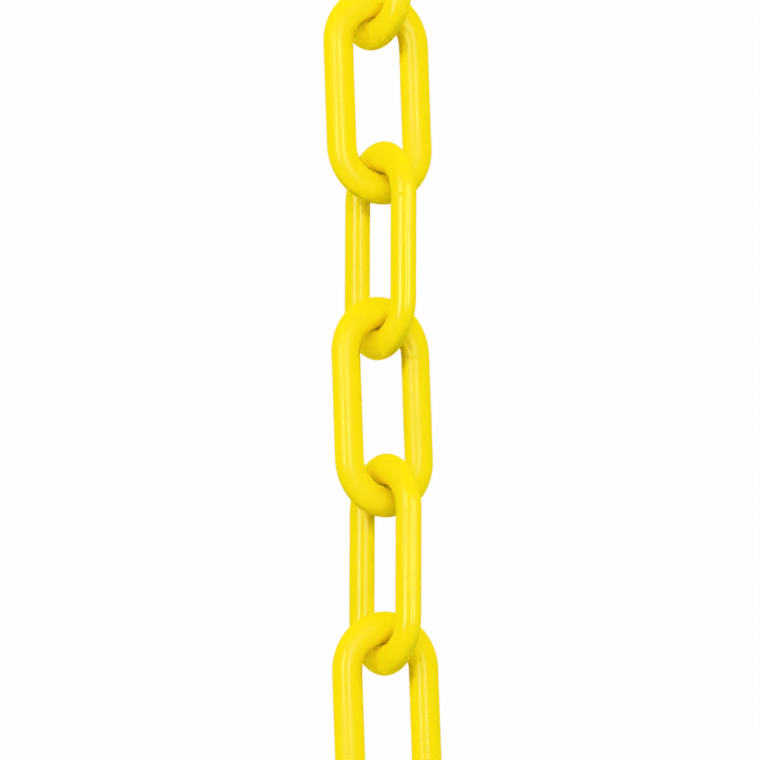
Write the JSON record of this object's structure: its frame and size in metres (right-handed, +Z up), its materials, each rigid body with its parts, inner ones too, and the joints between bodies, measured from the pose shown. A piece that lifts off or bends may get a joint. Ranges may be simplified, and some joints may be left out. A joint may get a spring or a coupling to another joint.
{
  "type": "plastic barrier chain",
  "caption": "Length of moulded plastic barrier chain: oval one-piece links threaded through each other at quarter turns, hanging plumb and free to swing link on link.",
  "frame": {"origin": "the seat inside the top link's upper crown, where a hook would carry the chain", "axes": "+Z up along the hanging chain, +X across the plane of the top link, +Y across its thickness"},
  "size_m": [0.0276, 0.027, 0.34],
  "materials": {
    "chain_plastic": "glossy moulded polyethylene, coloured through"
  },
  "bodies": {
    "link_1": {"link_1": "chain_plastic"},
    "link_2": {"link_2": "chain_plastic"},
    "link_3": {"link_3": "chain_plastic"},
    "link_4": {"link_4": "chain_plastic"},
    "link_5": {"link_5": "chain_plastic"},
    "link_6": {"link_6": "chain_plastic"},
    "link_7": {"link_7": "chain_plastic"},
    "link_8": {"link_8": "chain_plastic"},
    "link_9": {"link_9": "chain_plastic"}
  },
  "joints": [
    {"name": "swing_2", "type": "hinge", "parent": "link_1", "child": "link_2", "pos_m": [0.00091, 0, -0.03999], "axis": [0.9997, 0, 0.0227], "range_deg": [-120, 120]},
    {"name": "swing_3", "type": "hinge", "parent": "link_2", "child": "link_3", "pos_m": [-0.00008, 0, -0.07614], "axis": [-0.0697, 0.9976, 0.0016], "range_deg": [-120, 120]},
    {"name": "swing_4", "type": "hinge", "parent": "link_3", "child": "link_4", "pos_m": [0.00091, 0, -0.11229], "axis": [-0.9991, 0.0349, -0.0227], "range_deg": [-120, 120]},
    {"name": "swing_5", "type": "hinge", "parent": "link_4", "child": "link_5", "pos_m": [-0.00008, 0, -0.14844], "axis": [0.0349, -0.9994, -0.0008], "range_deg": [-120, 120]},
    {"name": "swing_6", "type": "hinge", "parent": "link_5", "child": "link_6", "pos_m": [0.00091, 0, -0.18458], "axis": [0.9943, 0.1045, 0.0226], "range_deg": [-120, 120]},
    {"name": "swing_7", "type": "hinge", "parent": "link_6", "child": "link_7", "pos_m": [-0.00008, 0, -0.22073], "axis": [-0.0349, 0.9994, 0.0008], "range_deg": [-120, 120]},
    {"name": "swing_8", "type": "hinge", "parent": "link_7", "child": "link_8", "pos_m": [0.00091, 0, -0.25688], "axis": [-0.9991, 0.0349, -0.0227], "range_deg": [-120, 120]},
    {"name": "swing_9", "type": "hinge", "parent": "link_8", "child": "link_9", "pos_m": [-0.00008, 0, -0.29303], "axis": [0.0174, -0.9998, -0.0004], "range_deg": [-120, 120]}
  ]
}
